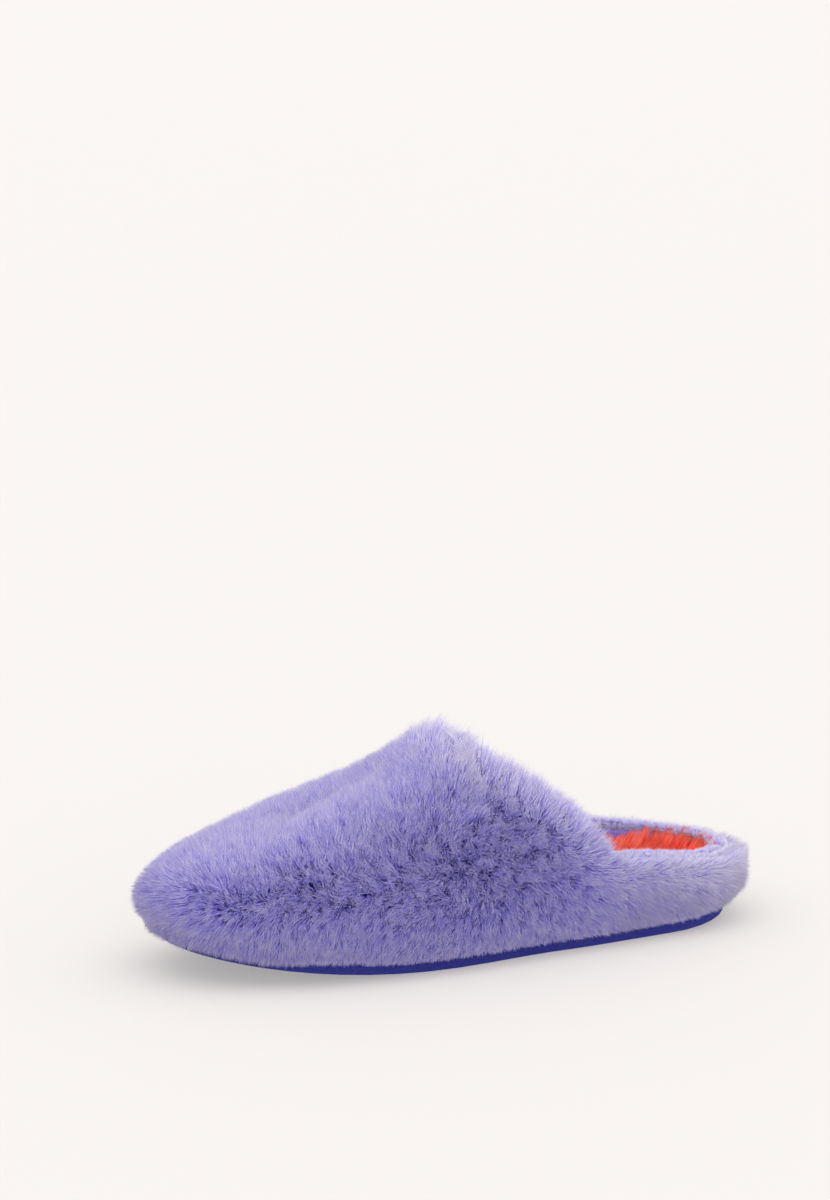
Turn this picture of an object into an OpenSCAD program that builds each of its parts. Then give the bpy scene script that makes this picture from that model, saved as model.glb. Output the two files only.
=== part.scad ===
// Fluffy slip-on house slipper, left foot, closed toe and low padded heel rim.
// Frame: the toe points along -Y, the heel along +Y, the outer side of the foot is +X, +Z is up.
// The origin is the middle of the whole slipper's footprint, on the floor.

/* [Sole outline] */
// Length of the upper's base line, toe tip to heel end
base_len = 244; // [210:1:290]
// Centre line to the outer edge at the ball of the foot
ball_outer = 40.5; // [36:0.5:52]
// Toe tip to the widest point on the outer side
ball_outer_at = 102; // [88:1:116]
// Centre line to the inner edge at the ball of the foot
ball_inner = 37.5; // [34:0.5:48]
// Toe tip to the widest point on the inner side
ball_inner_at = 74; // [64:1:90]
// Centre line to the outer edge at the waist
waist_outer = 36.5; // [30:0.5:44]
// Toe tip to the waist on the outer side
waist_outer_at = 156; // [140:1:170]
// Centre line to the inner edge at the waist
waist_inner = 31.5; // [28:0.5:40]
// Toe tip to the waist on the inner side
waist_inner_at = 150; // [136:1:164]
// Centre line to either edge at the heel
heel_half = 32.5; // [28:0.5:40]
// Length of the rounded heel end
heel_round = 36; // [30:1:44]
// Roundness of the toe, 2 is an ellipse and more is squarer
toe_power = 2.6; // [2:0.05:3]
// How far the toe tip leans towards the inner side
toe_lean = 2; // [0:0.5:8]
// How far the heel end leans towards the outer side
heel_lean = 4.5; // [0:0.5:8]
// Length over which the heel leans
heel_lean_len = 90; // [60:1:110]

/* [Sole profile] */
// Rise of the sole at the toe tip
toe_spring = 13.5; // [6:0.5:18]
// Length over which the toe rises
toe_spring_len = 105; // [80:1:120]
// Rise of the sole at the heel end
heel_spring = 3.5; // [0:0.5:5]
// Length over which the heel rises
heel_spring_len = 55; // [35:1:64]
// Thickness of the outsole
sole_t = 6; // [4.5:0.5:8]
// How far the outsole stands out from the upper's base line
sole_out = 1; // [0:0.5:3]
// Spacing of the grooves across the tread
tread_pitch = 14; // [9:1:24]
// Width of a tread groove
tread_w = 3; // [1.5:0.5:5]
// Depth of a tread groove
tread_deep = 1.2; // [0.6:0.2:2]
// Width of the plain margin between the tread and the outsole's edge
tread_edge = 6; // [3:0.5:12]

/* [Upper shape] */
// Height of the crest a toe's depth behind the toe tip
crest_toe = 59; // [54:1:66]
// Height of the crest over the toes
crest_toes = 69; // [62:1:80]
// Height of the crest over the ball of the foot
crest_ball = 79.5; // [72:0.5:92]
// Height of the crest at the throat, the highest point of the slipper
crest_throat = 92.5; // [86:0.5:112]
// Toe tip to the front of the throat
throat_at = 120; // [112:1:134]
// Toe tip to the side seams
seam_at = 179; // [168:1:196]
// Shape of the throat edge from the side, 1 is straight and less is fuller
throat_power = 0.72; // [0.7:0.02:1.4]
// Height of the rim at the side seams
rim_side = 37.5; // [34:0.5:48]
// Height of the rim at the back of the heel
rim_heel = 30; // [29:0.5:44]
// Height at which the pile bulges out furthest
bulge_at = 14; // [11:0.5:20]
// How far the crest leans towards the outer side at the toe
crest_lean = 2.5; // [0:0.5:8]
// Roundness of the cross-section, 2 is an ellipse and more is squarer
section_power = 1.95; // [1.8:0.05:2.4]

/* [Upper layers] */
// Depth of the outer fur, backing cloth and pile together
fur_t = 12; // [9:0.5:15]
// How far the fur hangs out past the base line at the sole
fringe = 4.5; // [1:0.5:6]
// Thickness of the foam behind the fur
foam_t = 3; // [2:0.5:5]
// Thickness of the pile lining
lining_t = 3; // [2:0.5:5]
// Thickness of the toe puff
puff_t = 1; // [0.6:0.1:1.5]
// Toe tip to the back edge of the toe puff
puff_len = 46; // [30:1:60]
// Thickness of the heel counter
counter_t = 1; // [0.6:0.1:1.5]
// Thickness of the edge binding
binding_t = 1.2; // [0.8:0.1:2]
// Thickness of a side seam, both seam allowances together
seam_t = 1.6; // [1:0.1:3]
// Diameter of the sewing thread
thread_d = 0.8; // [0.5:0.1:1.2]
// Length of one stitch
stitch_len = 3.2; // [2:0.2:5]

/* [Bottom layers] */
// Width of the margin turned under the board
margin_w = 10; // [6:0.5:14]
// Thickness of the turned-under margin and of the filler inside it
margin_t = 1.2; // [1:0.1:2]
// Thickness of the insole board
board_t = 1.5; // [1:0.1:3]
// Thickness of the footbed foam under the toes
bed_toe_t = 4; // [2:0.5:6]
// Thickness of the footbed foam under the heel
bed_heel_t = 7; // [4:0.5:8]
// Thickness of the soft heel pad let into the footbed foam
pad_t = 2.5; // [1.5:0.5:4]
// Width of the heel pad
pad_w = 34; // [26:1:40]
// Length of the heel pad
pad_len = 50; // [36:1:60]
// Thickness of the fur sock, backing cloth and pile together
sock_t = 5.5; // [3:0.5:6.5]
// Gap between the bottom layers and the lining around them
bed_clear = 0.3; // [0.2:0.1:1]

/* [Hidden] */

OUTER = 1;    // side of the outer edge, +X
INNER = -1;   // side of the inner edge, -X
wall_t = fur_t + foam_t + lining_t;
toe_y = -base_len / 2;
heel_y = base_len / 2;
throat_y = toe_y + throat_at;
seam_y = toe_y + seam_at;
toe_centre = 52;                  // toe tip to the point that the toe's ribs meet at
heel_centre = heel_round;
crest_toes_at = 75;
crest_ball_at = 100;
ankle_rise = 4;                   // the crest keeps rising this much behind the throat
ankle_len = 60;
tall = 3 * crest_throat;          // taller and wider than anything it cuts
fine = 32;

// ---- plain helpers ----
function clamp01(t) = max(0, min(1, t));
function mix(a, b, t) = a + (b - a) * t;
function ease(t) = (1 - cos(180 * clamp01(t))) / 2;
function from_toe(y) = y - toe_y;
function power(a, n) = a <= 0 ? 0 : pow(a, n);

// smooth curve through points [at, value], level at both ends
function secant(p, i, j) = (p[j][1] - p[i][1]) / (p[j][0] - p[i][0]);
function slope(p, i) = i == 0 || i == len(p) - 1 ? 0 : secant(p, i - 1, i + 1);
function segment(p, x, i = 0) = (i >= len(p) - 2 || x <= p[i + 1][0]) ? i : segment(p, x, i + 1);
function hermite(a, b, sa, sb, w, t) =
    a * (1 + 2 * t) * (1 - t) * (1 - t) + b * t * t * (3 - 2 * t)
    + w * (sa * t * (1 - t) * (1 - t) - sb * t * t * (1 - t));
function smooth(p, x) = let (i = segment(p, x), w = p[i + 1][0] - p[i][0], t = clamp01((x - p[i][0]) / w))
    hermite(p[i][1], p[i + 1][1], slope(p, i), slope(p, i + 1), w, t);

// ---- the foot's outline and the sole's profile ----
function ball(side) = side == OUTER ? ball_outer : ball_inner;
function ball_at(side) = side == OUTER ? ball_outer_at : ball_inner_at;
function waist(side) = side == OUTER ? waist_outer : waist_inner;
function waist_at(side) = side == OUTER ? waist_outer_at : waist_inner_at;
function half_width(s, side) = let (b = ball_at(side), w = waist_at(side), h = base_len - heel_round)
    s < b ? ball(side) * power(1 - power((b - s) / b, toe_power), 1 / toe_power)
    : s < w ? mix(ball(side), waist(side), ease((s - b) / (w - b)))
    : s < h ? mix(waist(side), heel_half, ease((s - w) / (h - w)))
    : heel_half * power(1 - pow((s - h) / heel_round, 2), 0.5);
function middle_x(s) = heel_lean * pow(clamp01(1 - (base_len - s) / heel_lean_len), 1.5)
    - toe_lean * pow(clamp01(1 - s / ball_outer_at), 1.6);
// height of the sole's underside
function ground(y) = toe_spring * pow(clamp01(1 - from_toe(y) / toe_spring_len), 2)
    + heel_spring * pow(clamp01(1 - (heel_y - y) / heel_spring_len), 2);
// height of each layer's top above the underside
function bed_t(s) = mix(bed_toe_t, bed_heel_t, ease((s - ball_inner_at) / (waist_outer_at - ball_inner_at)));
function board_top() = sole_t + margin_t + board_t;
function floor_h(s) = board_top() + bed_t(s) + sock_t;

// ---- stations along the slipper ----
toe_n = 14;
quarter_n = 9;
heel_n = 11;
toe_rows = [for (i = [0 : toe_n]) toe_y + throat_at * (1 - cos(90 * i / toe_n))];
quarter_rows = [for (i = [1 : quarter_n])
    mix(throat_y, seam_y - seam_t / 2, pow(i / quarter_n, 1.6))];
heel_rows = [for (i = [0 : heel_n]) mix(seam_y + seam_t / 2, heel_y, sin(90 * i / heel_n))];
vamp_rows = concat(toe_rows, quarter_rows);
all_rows = concat(vamp_rows, heel_rows);
VAMP_N = len(vamp_rows) - 1;      // index of the vamp's last station
HEEL_N = len(heel_rows) - 1;
THROAT_N = toe_n;                 // index of the station where the throat opens
PUFF_N = len([for (y = vamp_rows) if (from_toe(y) <= puff_len) y]) - 1;

// ---- one rib: the wall's path at one station on one side ----
// the point on the crest that a rib leans towards
function crest_y(y) = y < throat_y
    ? mix(toe_y + toe_centre, throat_y, from_toe(y) / throat_at)
    : mix(throat_y, heel_y - heel_centre, (y - throat_y) / (heel_y - throat_y));
function crest_x(y) = mix(middle_x(from_toe(heel_y - heel_centre)), crest_lean, (heel_y - y) / base_len);
function crest_z(y) = smooth([[toe_centre, crest_toe], [crest_toes_at, crest_toes],
    [crest_ball_at, crest_ball], [throat_at, crest_throat],
    [throat_at + ankle_len, crest_throat + ankle_rise], [base_len, crest_throat + ankle_rise]],
    from_toe(y));
function edge_z(y) = y < seam_y
    ? mix(crest_throat, rim_side, 1 - power(1 - (y - throat_y) / (seam_y - throat_y), throat_power))
    : mix(rim_side, rim_heel, ease((y - seam_y) / (heel_y - seam_y)));
// [base point, direction inwards, length to the crest, crest height, edge height, ground height]
function rib(y, side) = let (s = from_toe(y), q = [crest_x(crest_y(y)), crest_y(y)],
    p = [middle_x(s) + side * half_width(s, side), y], n = norm(q - p), z = crest_z(crest_y(y)))
    [p, (q - p) / n, n, z, y <= throat_y ? z : edge_z(y), ground(y)];
function on_rib(r, across, z) = [r[0].x + r[1].x * across, r[0].y + r[1].y * across, z];
function sole_top(r, across) = ground(r[0].y + r[1].y * across) + sole_t;

// a wall's path at some depth in from the tips of the outer pile, sole to edge
LOW_N = 4;    // steps below the bulge
HIGH_N = 9;   // steps from the bulge to the edge
function is_skin(depth) = depth < fur_t;
function wall_low(r, depth) = r[5] + (is_skin(depth) ? bulge_at : floor_h(from_toe(r[0].y)));
// how far up its full arch a rib goes, 1 where it reaches the crest
function reach(r) = (r[4] - r[5] - bulge_at) / (r[3] - r[5] - bulge_at);
// angle at which a layer stops, a little lower the deeper it lies
function end_angle(r, depth) = let (low = wall_low(r, depth), e = reach(r))
    asin(min(1, power((r[4] - depth * e - low) / (r[3] - depth - low), section_power / 2)));
function arc_point(r, depth, angle) = let (low = wall_low(r, depth), side = depth - fur_t)
    on_rib(r, r[2] - (r[2] - side) * power(cos(angle), 2 / section_power),
        low + (r[3] - low - depth) * power(sin(angle), 2 / section_power));
function skirt(r) = [for (i = [0 : LOW_N - 1]) let (f = 90 * (1 - i / LOW_N),
    across = -(fringe + (fur_t - fringe) * cos(f)), base = sole_top(r, across))
    on_rib(r, across, mix(base, wall_low(r, 0), 1 - sin(f)))];
function straight(r, depth, bottom) = [on_rib(r, depth - fur_t, bottom)];
function arch(r, depth) = let (end = end_angle(r, depth))
    [for (i = [0 : HIGH_N]) arc_point(r, depth, end * i / HIGH_N)];

// ---- a shell: the same closed section on every rib ----
// a section runs up its outer wall and back down its inner one; outer_n counts its outer points
function section(r, from, to, flange) = concat(
    is_skin(from) ? skirt(r) : straight(r, from, sole_top(r, from - fur_t)),
    arch(r, from),
    reverse(arch(r, to)),
    flange ? turned_margin(r, to) : straight(r, to, sole_top(r, to - fur_t)));
function outer_n(from) = (is_skin(from) ? LOW_N : 1) + HIGH_N + 1;
function reverse(list) = [for (i = [len(list) - 1 : -1 : 0]) list[i]];
function turned_margin(r, depth) = let (wall = depth - fur_t, tip = wall + margin_w)
    [on_rib(r, wall, sole_top(r, wall) + margin_t), on_rib(r, tip, sole_top(r, tip) + margin_t),
     on_rib(r, tip, sole_top(r, tip)), on_rib(r, wall, sole_top(r, wall))];

// ribs in order from the outer seam round the toe to the inner seam
function vamp_ribs(first = VAMP_N) = concat(
    [for (i = [first : -1 : 0]) rib(vamp_rows[i], OUTER)],
    [for (i = [1 : first]) rib(vamp_rows[i], INNER)]);
// ribs in order from the inner seam round the heel to the outer seam
function heel_ribs() = concat(
    [for (y = heel_rows) rib(y, INNER)],
    [for (i = [HEEL_N - 1 : -1 : 0]) rib(heel_rows[i], OUTER)]);

// Joins equal sections into one closed solid. Ribs that reach the crest share their end
// points with the rib across from them, so the arch is whole up to the throat.
// edge is the section's last outer point, cap the faces that close one end of the solid,
// and closed_to the last station that reaches the crest.
module loft(sections, edge, cap, closed_to = -1) {
    n = len(sections);
    m = len(sections[0]);
    mid = (n - 1) / 2;
    function shared(i, j) = i > mid && i - mid <= closed_to && (j == edge || j == edge + 1);
    function at(i, j) = (shared(i, j % m) ? 2 * mid - i : i) * m + j % m;
    function closed(i) = abs(i - mid) <= closed_to && abs(i + 1 - mid) <= closed_to;
    quads = [for (i = [0 : n - 2], j = [0 : m - 1]) if (!(closed(i) && j == edge))
        [at(i, j), at(i, j + 1), at(i + 1, j + 1), at(i + 1, j)]];
    points = [for (s = sections) each s];
    faces = concat(
        [for (q = quads) each [[q[0], q[2], q[1]], [q[0], q[3], q[2]]]],
        [for (f = cap) [for (j = f) at(0, j)]],
        [for (f = cap) [for (j = reverse(f)) at(n - 1, j)]]);
    polyhedron(points, faces);
}
// the end of a shell: quads between its two arches, and a fan below them from the inner wall
function shell_cap(edge, m) = let (inner = edge + 1 + HIGH_N, outer = edge - HIGH_N, apex = inner + 1,
    rim = concat([for (j = [apex + 1 : 1 : m - 1]) j], [for (j = [0 : outer]) j], [inner]))
    concat([for (k = [0 : HIGH_N - 1]) [outer + k, outer + k + 1, inner - k - 1, inner - k]],
        [for (j = [1 : len(rim) - 1]) [apex, rim[j - 1], rim[j]]]);
module shell(sections, from, closed_to = -1) {
    edge = outer_n(from) - 1;
    loft(sections, edge, shell_cap(edge, len(sections[0])), closed_to);
}
// thin is taken off the shell's depth where the toe puff covers it
module vamp_shell(from, to, flange = false, thin = 0) {
    shell([for (r = vamp_ribs())
        section(r, from, to - (r[0].y <= vamp_rows[PUFF_N] ? thin : 0), flange)], from, THROAT_N);
}
module heel_shell(from, to, flange = false) {
    shell([for (r = heel_ribs()) section(r, from, to, flange)], from);
}

module seam(side) {
    shell([for (end = side * [-1, 1])
        section(rib(seam_y - end * seam_t / 2, side), 0, wall_t, false)], 0);
}

// ---- the edge of a shell, between two depths, as places to bind and stitch ----
// each place is [outer corner, inner corner, direction out of the edge]
function unit(v) = v / norm(v);
function edge_places(ribs, from, to) = let (a = [for (r = ribs) arc_point(r, from, end_angle(r, from))],
    b = [for (r = ribs) arc_point(r, to, end_angle(r, to))], last = len(ribs) - 1)
    [for (i = [0 : last]) let (along = a[min(last, i + 1)] - a[max(0, i - 1)],
        o = unit(cross(along, b[i] - a[i]))) [a[i], b[i], o * sign(o.y + o.z)]];
function throat_ribs() = concat([for (i = [VAMP_N : -1 : THROAT_N]) rib(vamp_rows[i], OUTER)],
    [for (i = [THROAT_N + 1 : VAMP_N]) rib(vamp_rows[i], INNER)]);
function throat_places() = edge_places(throat_ribs(), fur_t, fur_t + foam_t);
function heel_places() = edge_places(heel_ribs(), fur_t + counter_t, fur_t + foam_t);
module binding(places) {
    loft([for (p = places) [p[0], p[0] + binding_t * p[2], p[1] + binding_t * p[2], p[1]]],
        1, [[0, 1, 2, 3]]);
}
function steps(line) = [for (i = [1 : len(line) - 1]) norm(line[i] - line[i - 1])];
function sum(v, n) = n <= 0 ? 0 : v[n - 1] + sum(v, n - 1);
function along_line(line, gaps, d, i = 0) = (i >= len(gaps) - 1 || d <= gaps[i])
    ? mix(line[i], line[i + 1], d / gaps[i]) : along_line(line, gaps, d - gaps[i], i + 1);
// a row of stitches lying on a binding
module stitches(places) {
    line = [for (p = places) (p[0] + p[1]) / 2 + (binding_t + thread_d / 2) * p[2]];
    gaps = steps(line);
    whole = sum(gaps, len(gaps));
    count = floor(whole / (2 * stitch_len));
    for (i = [0 : count - 1]) {
        from = along_line(line, gaps, (i + 0.25) * whole / count);
        to = along_line(line, gaps, (i + 0.75) * whole / count);
        run = to - from;
        translate(from) rotate([0, acos(run.z / norm(run)), atan2(run.y, run.x)])
            cylinder(h = norm(run), d = thread_d, $fn = fine);
    }
}

// ---- the whole slipper's footprint, centred on the origin ----
pile_ring = [for (side = [OUTER, INNER], y = all_rows) on_rib(rib(y, side), -fur_t, 0)];
function middle(i) = let (v = [for (p = pile_ring) p[i]]) (min(v) + max(v)) / 2;
centre = [middle(0), middle(1)];
module placed() { translate([-centre.x, -centre.y, 0]) children(); }

// ---- bottom pieces: an outline inset from the base line, between two heights ----
function outline(inset) = concat(
    [for (y = all_rows) let (p = on_rib(rib(y, OUTER), inset, 0)) [p.x, p.y]],
    [for (i = [len(all_rows) - 2 : -1 : 1]) let (p = on_rib(rib(all_rows[i], INNER), inset, 0)) [p.x, p.y]]);
edge_rows = concat([toe_y - fur_t], all_rows, [heel_y + fur_t]);
module band(low, high) {
    rotate([90, 0, 90]) linear_extrude(tall, center = true) polygon(concat(
        [for (y = edge_rows) [y, ground(y) + low(from_toe(y))]],
        [for (y = reverse(edge_rows)) [y, ground(y) + high(from_toe(y))]]));
}
module slab(inset, low, high) {
    intersection() {
        linear_extrude(tall) polygon(outline(inset));
        band(low, high);
    }
}
bed_inset = wall_t - fur_t + bed_clear;
pad_at = base_len - heel_round - 2;
module pad_shape(clear) {
    translate([0, toe_y + pad_at, 0]) linear_extrude(board_top() + ground(toe_y + pad_at) + pad_t + clear)
        pad_outline(pad_w / 2 + clear, pad_len / 2 + clear);
}
module pad_outline(a, b) {
    polygon([for (i = [0 : fine - 1]) let (t = 360 * i / fine) [a * cos(t), b * sin(t)]]);
}

module outsole() {
    color("#32337a") placed() difference() {
        slab(-sole_out, function (s) 0, function (s) sole_t);
        intersection() {
            linear_extrude(tall) polygon(outline(tread_edge));
            for (s = [tread_pitch : tread_pitch : base_len - tread_pitch]) translate([0, toe_y + s, 0])
                cube([tall, tread_w, 2 * (tread_deep + ground(toe_y + s))], center = true);
        }
    }
}
module bottom_filler() {
    color("#8c8578") placed() slab(wall_t - fur_t + margin_w + bed_clear,
        function (s) sole_t, function (s) sole_t + margin_t);
}
module insole_board() {
    color("#b79c74") placed() slab(bed_inset,
        function (s) sole_t + margin_t, function (s) board_top());
}
module footbed_foam() {
    color("#e8dfc8") placed() difference() {
        slab(bed_inset, function (s) board_top(), function (s) board_top() + bed_t(s));
        pad_shape(bed_clear);
    }
}
module heel_pad() {
    color("#9fc3d6") placed() intersection() {
        pad_shape(0);
        band(function (s) board_top(), function (s) board_top() + bed_heel_t);
    }
}
module insole_fur() {
    color("#d3473f") placed() slab(bed_inset,
        function (s) board_top() + bed_t(s), function (s) floor_h(s));
}

module vamp_fur() { color("#8f88c4") placed() vamp_shell(0, fur_t); }
module vamp_foam() { color("#efe9dc") placed() vamp_shell(fur_t, fur_t + foam_t, thin = puff_t); }
module toe_puff() {
    depth = fur_t + foam_t;
    color("#c9b58f") placed()
        shell([for (r = vamp_ribs(PUFF_N)) section(r, depth - puff_t, depth, false)], depth, PUFF_N);
}
module vamp_lining() { color("#d3473f") placed() vamp_shell(fur_t + foam_t, wall_t, true); }
module throat_binding() { color("#8a86bd") placed() binding(throat_places()); }
module throat_stitches() { color("#6a66a8") placed() stitches(throat_places()); }
module heel_fur() { color("#979ec3") placed() heel_shell(0, fur_t); }
module heel_counter() { color("#c9b58f") placed() heel_shell(fur_t, fur_t + counter_t); }
module heel_foam() { color("#efe9dc") placed() heel_shell(fur_t + counter_t, fur_t + foam_t); }
module heel_lining() { color("#a79fd0") placed() heel_shell(fur_t + foam_t, wall_t, true); }

module heel_binding() { color("#8a86bd") placed() binding(heel_places()); }
module heel_stitches() { color("#6a66a8") placed() stitches(heel_places()); }
module side_seam_outer() { color("#b9b3dc") placed() seam(OUTER); }
module side_seam_inner() { color("#b9b3dc") placed() seam(INNER); }

outsole();
bottom_filler();
insole_board();
footbed_foam();
heel_pad();
insole_fur();
vamp_fur();
vamp_foam();
vamp_lining();
heel_fur();
heel_counter();
heel_foam();
heel_lining();
toe_puff();
throat_binding();
throat_stitches();
heel_binding();
heel_stitches();
side_seam_outer();
side_seam_inner();
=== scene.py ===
# %% [markdown]
# # A fluffy house slipper
# The part is a slip-on house slipper: a lavender pile upper over foam, a coral sock, and a thin indigo sole.
# Its real sizes come from the CAD frame, so every piece below is grown on a CAD layer or made from its faces.
# Loading the frame first means that nothing has to be measured or moved by hand afterwards.

# %% Load the frame
import math
import bpy
import bmesh
import numpy as np
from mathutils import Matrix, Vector, noise
from mathutils.bvhtree import BVHTree
from mathutils.kdtree import KDTree


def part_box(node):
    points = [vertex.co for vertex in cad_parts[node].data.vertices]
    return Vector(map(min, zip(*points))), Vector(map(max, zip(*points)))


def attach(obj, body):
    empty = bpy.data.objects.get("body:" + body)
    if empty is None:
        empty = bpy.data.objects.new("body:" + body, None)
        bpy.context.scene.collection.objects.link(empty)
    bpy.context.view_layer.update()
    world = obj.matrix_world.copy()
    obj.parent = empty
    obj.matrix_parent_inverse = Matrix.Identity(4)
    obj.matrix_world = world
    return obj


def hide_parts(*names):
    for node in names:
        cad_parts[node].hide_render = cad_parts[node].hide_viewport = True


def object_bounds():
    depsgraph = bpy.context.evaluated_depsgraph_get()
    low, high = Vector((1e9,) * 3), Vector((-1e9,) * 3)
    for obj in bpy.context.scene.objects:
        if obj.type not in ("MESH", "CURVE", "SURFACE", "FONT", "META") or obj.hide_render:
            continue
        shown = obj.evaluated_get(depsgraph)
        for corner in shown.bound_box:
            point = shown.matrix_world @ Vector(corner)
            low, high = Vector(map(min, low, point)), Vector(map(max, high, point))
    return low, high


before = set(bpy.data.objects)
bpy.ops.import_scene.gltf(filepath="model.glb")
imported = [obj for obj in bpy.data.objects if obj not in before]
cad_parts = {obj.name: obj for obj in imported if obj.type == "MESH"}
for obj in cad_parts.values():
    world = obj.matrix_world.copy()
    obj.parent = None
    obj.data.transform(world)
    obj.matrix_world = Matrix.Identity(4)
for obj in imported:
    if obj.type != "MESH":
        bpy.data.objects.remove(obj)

scene = bpy.context.scene
MM = 0.001
cad_box = [list(corner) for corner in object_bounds()]
low, high = (Vector(corner) for corner in cad_box)
middle = (low + high) / 2
print("nodes", len(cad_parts), "size in mm", [round(1000 * side) for side in high - low])

# %% [markdown]
# ## The camera
# A long lens from two metres away keeps the slipper's sides nearly parallel, as in a catalogue picture.
# The camera could be posed by hand, but turning an azimuth and a rise into a direction is exact and repeatable.
# It aims above the slipper, so that the slipper sits low with plain space over it.

# %% Camera
AZIMUTH, RISE = math.radians(63.03), math.radians(14.63)
DISTANCE, LENS_MM, SENSOR_MM = 2.034, 150.1, 36
TARGET = (-1.8 * MM, 40 * MM)
ASIDE, ABOVE = 12.8 * MM, 98.8 * MM
back = Vector((math.sin(AZIMUTH) * math.cos(RISE), -math.cos(AZIMUTH) * math.cos(RISE), math.sin(RISE)))
right = Vector((math.cos(AZIMUTH), math.sin(AZIMUTH), 0))
up = back.cross(right)
look_at = Vector((middle.x + TARGET[0], middle.y, TARGET[1]))
eye = look_at + DISTANCE * back
aim = look_at - ASIDE * right + ABOVE * up
lens = bpy.data.cameras.new("camera")
lens.sensor_width = SENSOR_MM
lens.lens = LENS_MM
lens.clip_end = 100
camera = bpy.data.objects.new("camera", lens)
camera.location = eye
camera.rotation_euler = (aim - eye).to_track_quat("-Z", "Y").to_euler()
scene.collection.objects.link(camera)
scene.camera = camera
print("camera at", [round(c, 3) for c in eye])

# %% [markdown]
# ## Floor and light
# A product picture uses a white tent: light from everywhere, a little more from above, and soft shadows.
# A bright world gives the tent. A sun with a very wide disc gives the soft light from above, and a second one
# stands for the lit panel beside the slipper, which reaches down between the hairs of the steep side.
# The world shows the floor's own colour to the camera, so no horizon line shows in the low views.
# The floor glows a little, like a lit table, which keeps the shadow under the sole pale and soft.

# %% Floor and light
def display(r, g, b):
    """a colour given as it should look on a screen, 0 to 255, as the linear colour Blender works in"""
    return tuple(((c / 255 + 0.055) / 1.055) ** 2.4 if c > 10 else c / 255 / 12.92 for c in (r, g, b)) + (1,)


scene.view_settings.view_transform = "Standard"
scene.view_settings.look = "None"
FLOOR_LOOK = display(248, 244, 241)
TENT, FROM_ABOVE, FROM_SIDE, FLOOR_SHARE, FLOOR_GLOW = 1.40, 1.06, 1.40, 0.335, 0.34
world = bpy.data.worlds.new("tent")
scene.world = world
world.use_nodes = True
tree = world.node_tree
sky = tree.nodes["Background"]
sky.inputs["Color"].default_value = (1, 0.99, 0.985, 1)
sky.inputs["Strength"].default_value = TENT
seen = tree.nodes.new("ShaderNodeBackground")
seen.inputs["Color"].default_value = FLOOR_LOOK
path = tree.nodes.new("ShaderNodeLightPath")
pick = tree.nodes.new("ShaderNodeMixShader")
tree.links.new(path.outputs["Is Camera Ray"], pick.inputs[0])
tree.links.new(sky.outputs[0], pick.inputs[1])
tree.links.new(seen.outputs[0], pick.inputs[2])
tree.links.new(pick.outputs[0], tree.nodes["World Output"].inputs["Surface"])

LAMPS = {"overhead": (FROM_ABOVE, 70, (0.25, -0.15, 1)), "side_panel": (FROM_SIDE, 50, (1, -0.45, 0.12))}
for name, (energy, degrees_wide, toward) in LAMPS.items():
    sun = bpy.data.lights.new(name, "SUN")
    sun.energy = energy
    sun.angle = math.radians(degrees_wide)
    sun.color = (1, 0.99, 0.98)
    lamp = bpy.data.objects.new(name, sun)
    lamp.rotation_euler = Vector(toward).to_track_quat("Z", "Y").to_euler()
    scene.collection.objects.link(lamp)


def plain_mesh(name, verts, faces):
    """a new mesh object in the scene"""
    mesh = bpy.data.meshes.new(name)
    mesh.from_pydata([tuple(v) for v in verts], [], faces)
    thing = bpy.data.objects.new(name, mesh)
    scene.collection.objects.link(thing)
    return thing


def finish(name, colour, roughness, **extra):
    """a material with one Principled shader; extra sets its other sockets by name, _ for a space"""
    material = bpy.data.materials.new(name)
    material.use_nodes = True
    shader = material.node_tree.nodes["Principled BSDF"]
    shader.inputs["Base Color"].default_value = colour
    shader.inputs["Roughness"].default_value = roughness
    for socket, value in extra.items():
        shader.inputs[socket.replace("_", " ")].default_value = value
    return material


REACH = 30
PAPER = (1, 0.966, 0.944)
floor = plain_mesh("floor", [(x * REACH, y * REACH, low.z) for x, y in ((-1, -1), (1, -1), (1, 1), (-1, 1))],
                   [(0, 1, 2, 3)])
floor.data.materials.append(finish("floor_paper", tuple(FLOOR_SHARE * c for c in PAPER) + (1,), 0.9,
                                   Specular_IOR_Level=0.1, Emission_Color=PAPER + (1,),
                                   Emission_Strength=FLOOR_GLOW))
print("floor at z", low.z)

# %% [markdown]
# ## Skins to grow pile on
# Fur fabric is a knitted backing with pile standing on it. The backing's shape is already in the CAD:
# it is the face of one layer that the next layer lies on. So each skin is those faces of the layer below,
# found by asking how far each face's middle is from the layer over it. Nothing has to be traced again.
# Faces that miss the test by a hair leave pinholes, and those are closed, so that they don't count as edges.

# %% Find a skin and its edges
def welded(node):
    """a CAD node's faces as a separate bmesh, with the doubled corners joined"""
    shape = bmesh.new()
    shape.from_mesh(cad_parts[node].data)
    bmesh.ops.remove_doubles(shape, verts=shape.verts, dist=0.01 * MM)
    return shape


def surface_of(*nodes):
    """a search tree over the faces of several CAD nodes"""
    verts, faces = [], []
    for node in nodes:
        shape = welded(node)
        start = len(verts)
        shape.verts.index_update()
        verts += [v.co.copy() for v in shape.verts]
        faces += [[start + v.index for v in f.verts] for f in shape.faces]
        shape.free()
    return BVHTree.FromPolygons(verts, faces)


SOLE = surface_of("outsole")
SEAMS = surface_of("side_seam_outer", "side_seam_inner")
COVER_GAP, EDGE_GAP, FACING = 0.6 * MM, 0.5 * MM, -0.8
PINHOLE_SIDES = 12


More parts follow.
